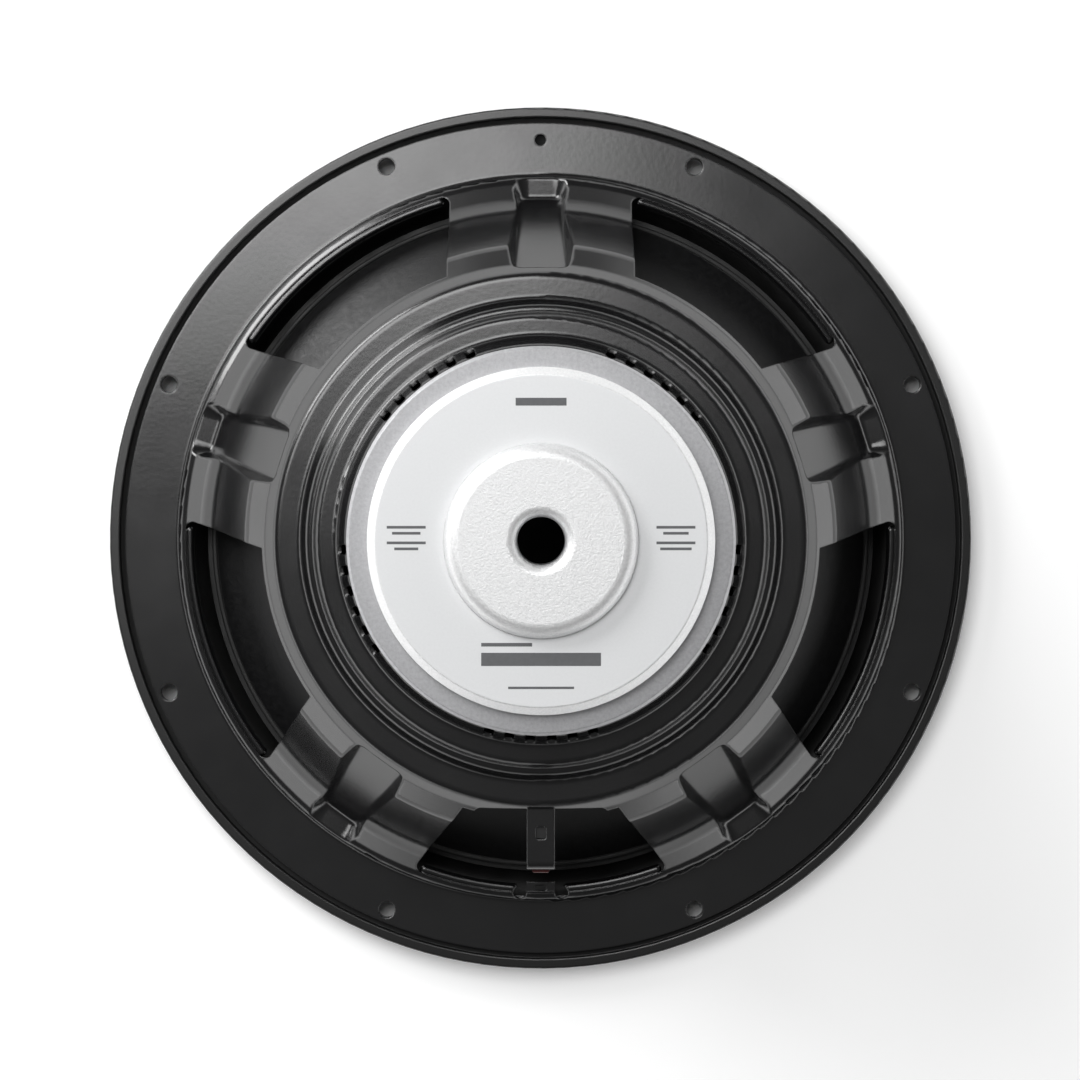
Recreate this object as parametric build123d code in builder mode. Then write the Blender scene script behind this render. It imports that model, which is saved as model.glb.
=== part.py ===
from build123d import *
import math
import os

# A 12 inch car subwoofer lying on its front: z = 0 is the trim ring's front face, +Z runs to the
# rear of the motor, and the terminals face -Y. All sizes are in millimetres.

# ---- basket: pressed steel sheet ----
sheet = 1.5
bolt_circle_r = 147.5
bolt_hole_r = 3.0
bolt_count = 8
flange_edge = 4.8  # bolt circle to the flange's edge
rim_inset = 15.9  # bolt circle in to the rim's corner
rim_flare = 1.0  # rim's corner out to the foot of its wall
locating_hole_r = 2.0
locating_hole_inset = 1.5
rim_height = 10.5
rim_ledge = 2.7  # flat step between the rim's corner and the foot of the spokes
foot_rise = 1.4
basket_depth = 87.2  # flange's rear face to the motor seat
seat_r = 67.0
slot_wall_run = 3.9
slot_wall_drop = 9.5
motor_step_width = 6.5
riser_ledge = (2.0, 5.2)  # width, and height above the spider step
riser_start = (2.0, 5.6)
riser_run = 6.9
riser_drop = 9.0
spider_step_width = 8.5
shelf_wall_run = 3.8
shelf_wall_drop = 6.6
shelf_width = 7.2
shelf_drop = 6.1
bend_r = 2.0
tight_bend_r = 1.5
ledge_bend_r = 1.0
ledge_inside_r = 0.4
spoke_bend_r = 6.0
spoke_count = 5
spoke_half_width = 33.1
spoke_knee = (9.4, 7.3)  # where the spoke flattens: in from its foot, and up
spoke_knee_r = 20.0
channel_depth = 5.8
channel_half_width_foot = 7.4
channel_half_width_top = 8.8
channel_draft = 28.0
channel_corner_r = 3.0
channel_floor_r = 2.2
channel_lip_r = 1.2
channel_lip_min = 2.0  # shorter edges of the channel stay sharp
channel_top_inset = (3.0, 1.2)  # from the shelf's inner bend to the channel's upper end
window_ledge = 0.1  # foot of the spokes to the windows' outer edge
window_margin = 1.3  # shelf's inner bend to the windows' upper edge
window_corner_r = 2.5
window_top_corner_r = 11.0
bead_r = 1.7  # rolled bead along each window's outer edge
bead_overlap = 0.3
bead_drop = 0.5
bead_end_gap = 1.6  # degrees between the bead's end and the spoke
slots_per_window = 6
slot_pitch = 6.1  # degrees
slot_width = 3.45
slot_height = 7.4
slot_below_seat = 1.0
slot_corner_r = 0.9
slot_overrun = 2.0  # past the foot of the wall
pan_margin = 1.8  # coil gap to the hole in the pan

# ---- terminal tongue and rim lip, pressed out of the basket ----
terminal_window_extra = 3.9  # how much higher the terminal window reaches
terminal_window_half_width = 24.0
terminal_window_corner_r = 3.0
tongue_root = 1.2  # into the sheet round the spider step
tongue_width = 9.8
tongue_length = 21.6  # past the terminal window's upper edge
tongue_drop = 22.0  # tongue's rear face below the motor seat
tongue_lip = 6.5
tongue_bend_r = 3.0
tongue_slot_inset = 13.0  # slot's centre in from the tongue's end
tongue_slot = (3.5, 4.2)
tongue_slot_corner_r = 0.8
rim_lip_width = 10.4
rim_lip_length = 4.1
rim_lip_sink = 0.2  # below the rim
rim_lip_slot = (4.4, 1.8)
rim_lip_slot_inset = 2.4
rim_notch_r = 2.4
lip_root = 1.6  # into the rim

# ---- front trim and suspension ----
trim_thickness = 9.3  # front face to the surround's land
trim_gap = 1.8  # flange's edge to the trim's upstand
trim_upstand_wall = 3.9
trim_upstand_height = 0.5  # above the flange's rear face
trim_land = 4.5  # width of surround that the trim clamps
trim_inner_bevel = (4.0, 3.0)
trim_outer_bevel = 3.5
trim_round = 2.0
trim_upstand_round = 0.8
trim_screw_r = 3.3
trim_counterbore_r = 6.0
trim_counterbore_depth = 5.0
land = 1.5  # thickness of the surround's glue land
land_margin = 1.0  # land's edge to the bolt holes
land_clearance = 0.4
roll_start = 2.9  # rim's corner out to the roll
roll_width = 13.0
roll_thickness = 1.2
lip_width = 6.0
spider_thickness = 0.8
spider_wave = 1.6  # half height of a corrugation
spider_wave_bend_r = 1.6
spider_waves = 6
spider_land_width = 5.4
spider_edge_clearance = 0.8
spider_collar = 3.0
spider_hub = 3.0
soft_gap = 0.3  # between a deforming piece and what moves under it

# ---- motor ----
pole_r = 24.3
former_clearance = 0.5
former_wall = 0.3
winding = 1.2
gap_clearance = 0.9  # winding to the top plate
top_plate_r = 60.0
top_plate_thickness = 8.0
top_plate_edge = 0.5
magnet_r = 65.5
magnet_bore_margin = 3.8
magnet_thickness = 22.0
magnet_edge = 1.0
yoke_r = 58.3
yoke_thickness = 8.0
yoke_bevel = (2.6, 3.2)
pole_edge = 1.0
vent_r = 8.1
vent_mouth = 3.5
boss_r = 32.5
boss_height = 6.0
boss_round = 4.8
label_thickness = 0.2
label_margin = 0.4
stake_count = 4
stake_inset = 15.0  # from the top plate's edge
stake_r = 2.5
stake_fit = 0.05
stake_head_r = 4.2
stake_head = 1.7
stake_grip = 4.0

# ---- moving assembly ----
cone_thickness = 1.4
cone_edge_gap = 1.0  # roll to the cone's edge
cone_flat = 2.0
cone_fold = 0.6  # front corner in from the rear corner, where the flat meets the slope
neck_drop = 32.0  # cone's neck in front of the motor seat
neck_overlap = 4.0
former_rear_gap = 13.5  # to the back plate
winding_height = 24.0
collar_wall = 0.6
collar_height = 8.0
cap_r = 58.0
cap_height = 17.0
cap_thickness = 1.0
glue_gap = 0.1
eyelet_circle_r = 46.0
eyelet_x = 6.5
eyelet_r = 2.2
eyelet_bore_r = 0.6
eyelet_shank_r = 1.1
eyelet_head = 0.6
eyelet_fit = 0.05
lead_wire_r = 0.4
lead_wire_end = 2.5  # from the collar
lead_wire_gap = 0.02  # over the cone

# ---- terminals ----
block_width = 9.4
block_depth = 16.0
block_height = 33.0
block_edge = 0.6
hook_gap = 0.1
hook_drop = 0.9
button_width = 6.0
button_height = 6.6
button_depth = 10.0
button_proud = 3.2
button_edge_r = 0.8
button_gap = 0.3
button_room = 3.5  # behind the button, for its travel and the leaf of its contact
button_drop = (9.5, 23.5)  # centres below the tongue
wire_hole_r = 1.3
wire_hole_drop = 5.6
wire_hole_depth = 8.0
contact_width = 4.0
contact_thickness = 0.5
contact_bend_r = 0.8
contact_slot_gap = 0.2
contact_tail = 5.0
contact_rise = 2.6
leaf_gap = 0.3
lug_x = 1.2  # half the distance between the two leads at the lugs
lug_end = 1.2
tinsel_r = 0.9
tinsel_gap = 0.1
tinsel_dip = 2.5  # lowest point of the route, under both of its ends
tinsel_lead_in = 1.0  # first corner above the middle of its drop
tinsel_corners = [(0.9, 0.2), (2.2, 0.45), (3.6, 0.72)]  # sideways, and share of the way in
tinsel_bend_share = 0.45  # of the shorter side at each corner

# ---- places worked out from the sizes above ----
flange_r = bolt_circle_r + flange_edge
rim_r = bolt_circle_r - rim_inset
flange_front = trim_thickness + land
flange_rear = flange_front + sheet
seat_z = flange_rear + basket_depth
motor_step_inner_r = seat_r + slot_wall_run
motor_step_r = motor_step_inner_r + motor_step_width
motor_step_z = seat_z - slot_wall_drop
spider_step_inner_r = motor_step_r + riser_run
spider_step_r = spider_step_inner_r + spider_step_width
spider_step_z = motor_step_z - riser_drop
shelf_inner_r = spider_step_r + shelf_wall_run
shelf_inner_z = spider_step_z - shelf_wall_drop
shelf_r = shelf_inner_r + shelf_width
shelf_z = shelf_inner_z - shelf_drop
foot_r = rim_r - rim_ledge
rim_z = flange_rear + rim_height
window_outer_r = foot_r + window_ledge
window_inner_r = shelf_inner_r + window_margin
terminal_window_y = window_inner_r - terminal_window_extra
tongue_z = seat_z - tongue_drop
tongue_end_y = terminal_window_y + tongue_length
tongue_slot_y = tongue_end_y - tongue_slot_inset
rim_lip_r = window_outer_r - rim_lip_length
land_outer_r = bolt_circle_r - bolt_hole_r - land_margin
trim_inner_r = land_outer_r - trim_land
trim_upstand_r = flange_r + trim_gap
trim_outer_r = trim_upstand_r + trim_upstand_wall
roll_outer_r = rim_r + roll_start
roll_inner_r = roll_outer_r - roll_width
lip_inner_r = roll_inner_r - lip_width
cone_edge_r = roll_inner_r - cone_edge_gap
former_inner_r = pole_r + former_clearance
former_outer_r = former_inner_r + former_wall
winding_r = former_outer_r + winding
coil_gap_r = winding_r + gap_clearance
magnet_bore_r = coil_gap_r + magnet_bore_margin
stake_circle_r = top_plate_r - stake_inset
top_plate_z = seat_z + top_plate_thickness
magnet_z = top_plate_z + magnet_thickness
yoke_z = magnet_z + yoke_thickness
former_rear_z = magnet_z - former_rear_gap
winding_low_z = seat_z + (top_plate_thickness - winding_height) / 2
neck_z = seat_z - neck_drop
spoke_pitch = 360 / spoke_count
spoke_start_angle = 270 + spoke_pitch / 2
window_angles = [270 + spoke_pitch * i for i in range(spoke_count)]
bolt_start_angle = 180 / bolt_count
stake_start_angle = 180 / stake_count
beyond = 5.0  # how far a cutting shape runs past what it cuts


def parallel(points, radii, distance):
    """The path `distance` to the right of `points`, with mitred corners and matching bends."""
    spots = [Vector(*point) for point in points]
    runs = [(end - start).normalized() for start, end in zip(spots, spots[1:])]
    sides = [Vector(run.Y, -run.X) for run in runs]
    moved = [spots[0] + sides[0] * distance]
    bends = []
    for spot, before, after, radius in zip(spots[1:], sides, sides[1:], radii):
        moved.append(spot + (before + after) * (distance / (1 + before.dot(after))))
        turns_in = before.cross(after).Z < 0
        bends.append(radius - distance if turns_in else radius + distance)
    moved.append(spots[-1] + sides[-1] * distance)
    return moved, bends


basket_path = [
    (0, seat_z),
    (seat_r, seat_z),
    (motor_step_inner_r, motor_step_z),
    (motor_step_r, motor_step_z),
    (motor_step_r + riser_start[0], spider_step_z + riser_start[1]),
    (motor_step_r + riser_start[0] + riser_ledge[0], spider_step_z + riser_ledge[1]),
    (spider_step_inner_r, spider_step_z),
    (spider_step_r, spider_step_z),
    (shelf_inner_r, shelf_inner_z),
    (shelf_r, shelf_z),
    (foot_r - spoke_knee[0], rim_z + foot_rise + spoke_knee[1]),
    (foot_r, rim_z + foot_rise),
    (rim_r, rim_z),
    (rim_r + rim_flare, flange_rear),
    (flange_r + beyond, flange_rear),
]
basket_bends = [
    2 * tight_bend_r,
    bend_r,
    bend_r,
    ledge_bend_r,
    sheet + ledge_inside_r,
    bend_r,
    2 * tight_bend_r,
    bend_r,
    spoke_bend_r,
    spoke_knee_r,
    tight_bend_r,
    bend_r,
    tight_bend_r,
]
spoke_foot = Vector(foot_r, rim_z + foot_rise)
spoke_top = Vector(shelf_r, shelf_z)
spoke_run = (spoke_top - spoke_foot).normalized()
spoke_out = Vector(spoke_run.Y, -spoke_run.X)
channel_foot = spoke_foot - spoke_out * channel_depth
channel_top = Vector(shelf_inner_r - channel_top_inset[0], shelf_inner_z - channel_top_inset[1])


def channel(distance):
    """Tapered tool that presses the groove into a spoke, on the sheet moved in by `distance`."""
    run = (channel_top - channel_foot).normalized()
    out = Vector(run.Y, -run.X)
    length = (channel_top - channel_foot).length + distance
    start = channel_foot - out * distance
    floor = Plane(origin=(start.X, 0, start.Y), x_dir=(run.X, 0, run.Y), z_dir=(out.X, 0, out.Y))
    foot = channel_half_width_foot + distance
    top = channel_half_width_top + distance
    with BuildPart() as tool:
        with BuildSketch(floor):
            Polygon((-distance, -foot), (length, -top), (length, top), (-distance, foot), align=None)
            fillet(vertices(), radius=channel_corner_r + distance)
        extrude(amount=4 * channel_depth, taper=-channel_draft)
        fillet(tool.edges().group_by(Axis(floor.origin, floor.z_dir))[0], radius=channel_floor_r)
    return tool.part


def bell(distance):
    """Solid under the basket's rear surface, with that surface moved in by `distance`."""
    path, bends = parallel(basket_path, basket_bends, distance)
    with BuildPart() as body:
        with BuildSketch(Plane.XZ):
            with BuildLine():
                wall = FilletPolyline(*path, radius=bends)
                Polyline(wall @ 1, ((wall @ 1).X, 0), (0, 0), wall @ 0)
            make_face()
        revolve(axis=Axis.Z)
        with PolarLocations(0, spoke_count, start_angle=spoke_start_angle):
            add(channel(distance), mode=Mode.SUBTRACT)
        if distance == 0:
            lips = body.edges(Select.NEW).filter_by(lambda edge: edge.length > channel_lip_min)
            fillet(lips, radius=channel_lip_r)
    return body.part


def window_outline():
    """Five openings left between straight-sided spokes; the terminal one has a straight top."""
    Circle(window_outer_r)
    Circle(window_inner_r, mode=Mode.SUBTRACT)
    with PolarLocations(window_outer_r / 2, spoke_count, start_angle=spoke_start_angle):
        Rectangle(window_outer_r + 2 * beyond, 2 * spoke_half_width, mode=Mode.SUBTRACT)
    corners = vertices().group_by(lambda v: round(math.hypot(v.X, v.Y)))
    fillet(corners[-1], radius=window_corner_r)
    fillet(corners[0], radius=window_top_corner_r)


def terminal_window_top():
    """Extra depth at the top of the terminal window, round the root of the tongue."""
    depth = window_inner_r - terminal_window_y + 2 * beyond
    with Locations((0, -terminal_window_y - depth / 2)):
        RectangleRounded(2 * terminal_window_half_width, depth, radius=terminal_window_corner_r)


def tongue_section():
    """Side view of the tongue: out from the spider step, then bent down over the terminals."""
    path = [
        (-tongue_end_y, tongue_z - tongue_lip),
        (-tongue_end_y, tongue_z),
        (-spider_step_r - tongue_root, tongue_z),
    ]
    moved, bends = parallel(path, [tongue_bend_r], sheet)
    with BuildSketch(Plane.YZ) as strip:
        with BuildLine():
            outer = FilletPolyline(*path, radius=tongue_bend_r)
            inner = FilletPolyline(*moved, radius=bends)
            Line(outer @ 0, inner @ 0)
            Line(outer @ 1, inner @ 1)
        make_face()
    return strip.sketch


def slot_tools():
    """One rounded bar for each vent slot in the wall under the motor seat."""
    start_r = seat_r - beyond
    slot_z = seat_z - slot_below_seat - slot_height / 2
    with BuildPart() as tools:
        for window_angle in window_angles:
            for i in range(slots_per_window):
                angle = window_angle + slot_pitch * (i - (slots_per_window - 1) / 2)
                facing = Vector(1, 0, 0).rotate(Axis.Z, angle)
                face = Plane(
                    origin=facing * start_r + Vector(0, 0, slot_z),
                    x_dir=facing.rotate(Axis.Z, 90),
                    z_dir=facing,
                )
                with BuildSketch(face):
                    RectangleRounded(slot_width, slot_height, radius=slot_corner_r)
        extrude(amount=motor_step_inner_r - start_r + slot_overrun)
    return tools.part


def make_basket():
    front = bell(sheet)
    slots = slot_tools()
    with BuildPart() as basket:
        add(bell(0))
        add(front, mode=Mode.SUBTRACT)
        with BuildSketch(Plane.XY.offset(flange_front)):
            Circle(flange_r)
        extrude(amount=seat_z, mode=Mode.INTERSECT)
        with BuildSketch(Plane.XY.offset(flange_rear)):
            window_outline()
            terminal_window_top()
        extrude(amount=spider_step_z - flange_rear, mode=Mode.SUBTRACT)
        # motor opening and stake holes
        with BuildSketch(Plane.XY.offset(seat_z - beyond)):
            Circle(coil_gap_r + pan_margin)
            with PolarLocations(stake_circle_r, stake_count, start_angle=stake_start_angle):
                Circle(stake_r)
        extrude(amount=2 * beyond, mode=Mode.SUBTRACT)
        # bolt holes and the locating hole in the flange
        with BuildSketch(Plane.XY.offset(flange_front - sheet)):
            with PolarLocations(bolt_circle_r, bolt_count, start_angle=bolt_start_angle):
                Circle(bolt_hole_r)
            with Locations((0, bolt_circle_r - locating_hole_inset)):
                Circle(locating_hole_r)
        extrude(amount=beyond, mode=Mode.SUBTRACT)
        add(slots, mode=Mode.SUBTRACT)
        # rolled beads on the windows' outer edges, in two lengths where the rim lip is
        bead_z = rim_z - bead_drop
        bead_path_r = window_outer_r - bead_r + bead_overlap
        spoke_half_angle = math.degrees(math.asin(spoke_half_width / bead_path_r))
        bead_half_angle = spoke_pitch / 2 - spoke_half_angle - bead_end_gap
        lip_half_angle = math.degrees((rim_lip_width / 2 + 2 * rim_notch_r) / bead_path_r)
        for window_angle in window_angles:
            spans = [(-bead_half_angle, bead_half_angle)]
            if window_angle == 270:
                spans = [(-bead_half_angle, -lip_half_angle), (lip_half_angle, bead_half_angle)]
            for first, last in spans:
                facing = Vector(1, 0, 0).rotate(Axis.Z, window_angle + first)
                start = Plane(
                    origin=facing * bead_path_r + Vector(0, 0, bead_z),
                    x_dir=facing,
                    z_dir=facing.cross(Vector(0, 0, 1)),
                )
                with BuildSketch(start):
                    Circle(bead_r)
                revolve(axis=Axis.Z, revolution_arc=last - first)
                for end in (first, last):
                    spot = Vector(bead_path_r, 0, bead_z).rotate(Axis.Z, window_angle + end)
                    with Locations(spot):
                        Sphere(bead_r)
        # rim lip with its slot, between two round notches
        with BuildSketch(Plane.XY.offset(rim_z - sheet - rim_lip_sink)):
            with Locations((0, -(rim_lip_r + (rim_lip_length + lip_root) / 2))):
                Rectangle(rim_lip_width, rim_lip_length + lip_root)
            with Locations((0, -(rim_lip_r + rim_lip_slot_inset))):
                SlotOverall(rim_lip_slot[0], rim_lip_slot[1], mode=Mode.SUBTRACT)
        extrude(amount=sheet)
        with BuildSketch(Plane.XY.offset(rim_z - 2 * sheet)):
            notch_x = rim_lip_width / 2 + rim_notch_r
            with Locations((-notch_x, -window_outer_r), (notch_x, -window_outer_r)):
                Circle(rim_notch_r)
        extrude(amount=4 * sheet, mode=Mode.SUBTRACT)
        # terminal tongue
        extrude(tongue_section(), amount=tongue_width / 2, both=True)
        with BuildSketch(Plane.XY.offset(tongue_z - 2 * sheet)):
            with Locations((0, -tongue_slot_y)):
                RectangleRounded(*tongue_slot, radius=tongue_slot_corner_r)
        extrude(amount=4 * sheet, mode=Mode.SUBTRACT)
    return basket


def make_trim_ring():
    upstand_top = flange_rear + trim_upstand_height
    with BuildPart() as trim:
        with BuildSketch(Plane.XZ):
            Polygon(
                (trim_inner_r, trim_inner_bevel[1]),
                (trim_inner_r + trim_inner_bevel[0], 0),
                (trim_outer_r - trim_outer_bevel, 0),
                (trim_outer_r, trim_outer_bevel),
                (trim_outer_r, upstand_top),
                (trim_upstand_r, upstand_top),
                (trim_upstand_r, flange_front),
                (land_outer_r + land_clearance, flange_front),
                (land_outer_r + land_clearance, trim_thickness),
                (trim_inner_r, trim_thickness),
                align=None,
            )
        revolve(axis=Axis.Z)
        fillet(trim.edges().group_by(Axis.Z)[-1], radius=trim_upstand_round)
        front_edges = trim.edges().filter_by(lambda edge: edge.center().Z < trim_outer_bevel + trim_round)
        fillet(front_edges, radius=trim_round)
        with BuildSketch(Plane.XY):
            with PolarLocations(bolt_circle_r, bolt_count, start_angle=bolt_start_angle):
                Circle(trim_screw_r)
        extrude(amount=flange_front + beyond, mode=Mode.SUBTRACT)
        with BuildSketch(Plane.XY):
            with PolarLocations(bolt_circle_r, bolt_count, start_angle=bolt_start_angle):
                Circle(trim_counterbore_r)
        extrude(amount=trim_counterbore_depth, mode=Mode.SUBTRACT)
    return trim


def make_surround():
    """Half-roll edge: glue land, roll towards the front, and the lip under the cone's edge."""
    mid_z = flange_front - land / 2
    roll_r = (roll_outer_r - roll_inner_r) / 2
    roll_mid_r = (roll_outer_r + roll_inner_r) / 2
    with BuildPart() as surround:
        with BuildSketch(Plane.XZ):
            Polygon(
                (roll_outer_r, flange_front),
                (land_outer_r, flange_front),
                (land_outer_r, flange_front - land),
                (roll_outer_r, flange_front - land),
                align=None,
            )
            Polygon(
                (lip_inner_r, flange_front),
                (roll_inner_r, flange_front),
                (roll_inner_r, flange_front - land),
                (lip_inner_r, flange_front - land),
                align=None,
            )
            with Locations((roll_mid_r, mid_z)):
                Circle(roll_r + roll_thickness / 2)
                Circle(roll_r - roll_thickness / 2, mode=Mode.SUBTRACT)
            with Locations((roll_mid_r, mid_z + land / 2)):
                Rectangle(
                    2 * roll_r + roll_thickness,
                    roll_r + roll_thickness,
                    align=(Align.CENTER, Align.MIN),
                    mode=Mode.SUBTRACT,
                )
        revolve(axis=Axis.Z)
    return surround


def make_spider():
    """Corrugated disc from the coil former out to its land under the basket's spider step."""
    land_z = spider_step_z - sheet - spider_thickness
    outer_r = spider_step_r - sheet - spider_edge_clearance
    waves_outer_r = outer_r - spider_land_width
    waves_inner_r = former_outer_r + spider_hub
    steps = 2 * spider_waves
    pitch = (waves_outer_r - waves_inner_r) / steps
    middle = land_z - spider_wave
    inner_r = former_outer_r + soft_gap
    path = [(inner_r, middle + spider_collar), (inner_r, middle)]
    for i in range(1, steps):
        height = middle + (-spider_wave if i % 2 else spider_wave)
        path.append((waves_inner_r + pitch * i, height))
    path += [(waves_outer_r, land_z), (outer_r, land_z)]
    bends = [spider_wave_bend_r] * (steps + 1)
    moved, inner_bends = parallel(path, bends, -spider_thickness)
    with BuildPart() as spider:
        with BuildSketch(Plane.XZ):
            with BuildLine():
                front = FilletPolyline(*path, radius=bends)
                rear = FilletPolyline(*moved, radius=inner_bends)
                Line(front @ 0, rear @ 0)
                Line(front @ 1, rear @ 1)
            make_face()
        revolve(axis=Axis.Z)
    return spider


def make_top_plate():
    with BuildPart() as plate:
        with BuildSketch(Plane.XY.offset(seat_z)):
            Circle(top_plate_r)
            Circle(coil_gap_r, mode=Mode.SUBTRACT)
        extrude(amount=top_plate_thickness)
        chamfer(plate.edges().filter_by(GeomType.CIRCLE), length=top_plate_edge)
        with BuildSketch(Plane.XY.offset(seat_z)):
            with PolarLocations(stake_circle_r, stake_count, start_angle=stake_start_angle):
                Circle(stake_r)
        extrude(amount=stake_grip, mode=Mode.SUBTRACT)
    return plate


def make_stakes():
    with BuildPart() as stakes:
        with BuildSketch(Plane.XY.offset(seat_z - sheet)):
            with PolarLocations(stake_circle_r, stake_count, start_angle=stake_start_angle):
                Circle(stake_r - stake_fit)
        extrude(amount=sheet + stake_grip)
        with BuildSketch(Plane.XY.offset(seat_z - sheet)):
            with PolarLocations(stake_circle_r, stake_count, start_angle=stake_start_angle):
                Circle(stake_head_r)
        extrude(amount=-stake_head)
        fillet(stakes.edges().group_by(Axis.Z)[0], radius=stake_head / 2)
    return stakes


def make_magnet():
    with BuildPart() as magnet:
        with BuildSketch(Plane.XY.offset(top_plate_z)):
            Circle(magnet_r)
            Circle(magnet_bore_r, mode=Mode.SUBTRACT)
        extrude(amount=magnet_thickness)
        chamfer(magnet.edges().filter_by(GeomType.CIRCLE), length=magnet_edge)
    return magnet


def make_yoke():
    """Back plate, raised boss and vented pole in one forging."""
    boss_z = yoke_z + boss_height
    with BuildPart() as yoke:
        with BuildSketch(Plane.XZ):
            Polygon(
                (vent_r, seat_z),
                (pole_r, seat_z),
                (pole_r, magnet_z),
                (yoke_r, magnet_z),
                (yoke_r, yoke_z - yoke_bevel[1]),
                (yoke_r - yoke_bevel[0], yoke_z),
                (boss_r, yoke_z),
                (boss_r, boss_z),
                (vent_r, boss_z),
                align=None,
            )
        revolve(axis=Axis.Z)
        top_edges = yoke.edges().group_by(Axis.Z)[-1].sort_by(SortBy.LENGTH)
        fillet(top_edges[-1], radius=boss_round)
        fillet(top_edges[0], radius=vent_mouth)
        chamfer(yoke.edges().group_by(Axis.Z)[0].sort_by(SortBy.LENGTH)[-1], length=pole_edge)
    return yoke


def make_label():
    with BuildPart() as label:
        with BuildSketch(Plane.XY.offset(yoke_z)):
            Circle(yoke_r - yoke_bevel[0] - label_margin)
            Circle(boss_r + label_margin, mode=Mode.SUBTRACT)
        extrude(amount=label_thickness)
    return label


# The cone is straight: its rear face runs from the flat at its edge to the neck on the former.
cone_flat_z = flange_front + cone_thickness
cone_foot = Vector(cone_edge_r - cone_flat, cone_flat_z)
cone_neck = Vector(former_outer_r + cone_thickness, neck_z)
cone_run = (cone_foot - cone_neck).normalized()
cone_out = Vector(-cone_run.Y, cone_run.X)


def cone_rear_z(radius):
    """Height of the cone's rear face at a radius."""
    return cone_neck.Y + (radius - cone_neck.X) * cone_run.Y / cone_run.X


def cone_plane(x, radius):
    """Plane on the cone's rear face, under the terminal, facing out of it."""
    facing = Vector(x, -math.sqrt(radius**2 - x**2), 0).normalized()
    out = facing * cone_out.X + Vector(0, 0, cone_out.Y)
    run = facing * cone_run.X + Vector(0, 0, cone_run.Y)
    return Plane(origin=facing * radius + Vector(0, 0, cone_rear_z(radius)), x_dir=run, z_dir=out)


def make_cone():
    front_drop = cone_thickness / cone_run.X
    with BuildPart() as cone:
        with BuildSketch(Plane.XZ):
            Polygon(
                (cone_edge_r, flange_front),
                (cone_edge_r, cone_flat_z),
                (cone_foot.X, cone_foot.Y),
                (cone_neck.X, cone_neck.Y),
                (former_outer_r, neck_z),
                (former_outer_r, cone_rear_z(former_outer_r) - front_drop),
                (cone_foot.X - cone_fold, flange_front),
                align=None,
            )
        revolve(axis=Axis.Z)
        for side in (-1, 1):
            with BuildSketch(cone_plane(side * eyelet_x, eyelet_circle_r)):
                Circle(eyelet_shank_r)
            extrude(amount=-beyond, mode=Mode.SUBTRACT)
    return cone


def make_dust_cap():
    """Dome glued to the front of the cone."""
    base_z = cone_rear_z(cap_r) - cone_thickness / cone_run.X - glue_gap
    dome_r = (cap_r**2 + cap_height**2) / (2 * cap_height)
    with BuildPart() as cap:
        with BuildSketch(Plane.XZ):
            with Locations((0, base_z - cap_height + dome_r)):
                Circle(dome_r)
                Circle(dome_r - cap_thickness, mode=Mode.SUBTRACT)
            with Locations((0, base_z)):
                Rectangle(cap_r, cap_height, align=(Align.MIN, Align.MAX), mode=Mode.INTERSECT)
        revolve(axis=Axis.Z)
    return cap


def make_tube(low, high, inner, outer):
    with BuildPart() as tube:
        with BuildSketch(Plane.XY.offset(low)):
            Circle(outer)
            Circle(inner, mode=Mode.SUBTRACT)
        extrude(amount=high - low)
    return tube


def make_eyelets():
    with BuildPart() as eyelets:
        for side in (-1, 1):
            face = cone_plane(side * eyelet_x, eyelet_circle_r)
            with BuildSketch(face):
                Circle(eyelet_r)
                Circle(eyelet_bore_r, mode=Mode.SUBTRACT)
            extrude(amount=eyelet_head)
            with BuildSketch(face):
                Circle(eyelet_shank_r - eyelet_fit)
                Circle(eyelet_bore_r, mode=Mode.SUBTRACT)
            extrude(amount=-cone_thickness)
    return eyelets


def make_lead_wires():
    """Coil's wires, laid along the cone's rear face from the eyelets to the collar."""
    inner_r = former_outer_r + collar_wall + lead_wire_end
    with BuildPart() as wires:
        for side in (-1, 1):
            face = cone_plane(side * eyelet_x, eyelet_circle_r)
            length = (eyelet_circle_r - eyelet_r - inner_r) / cone_run.X
            start = face.origin - face.x_dir * (eyelet_r + eyelet_fit)
            start += face.z_dir * (lead_wire_r + lead_wire_gap)
            with BuildSketch(Plane(origin=start, z_dir=-face.x_dir)):
                Circle(lead_wire_r)
            extrude(amount=length)
    return wires


# ---- terminals: the block hangs under the tongue and fits inside its bent end ----
block_front_y = -(tongue_end_y - sheet)
block_top_z = tongue_z - sheet
button_z = [block_top_z - drop for drop in button_drop]
pocket_depth = button_depth - button_proud + button_room
pocket_back_y = block_front_y + pocket_depth


def facing_in(y, height):
    """Plane across the terminals, facing the motor's axis."""
    return Plane((0, y, height), x_dir=(1, 0, 0), z_dir=(0, 1, 0))


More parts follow.
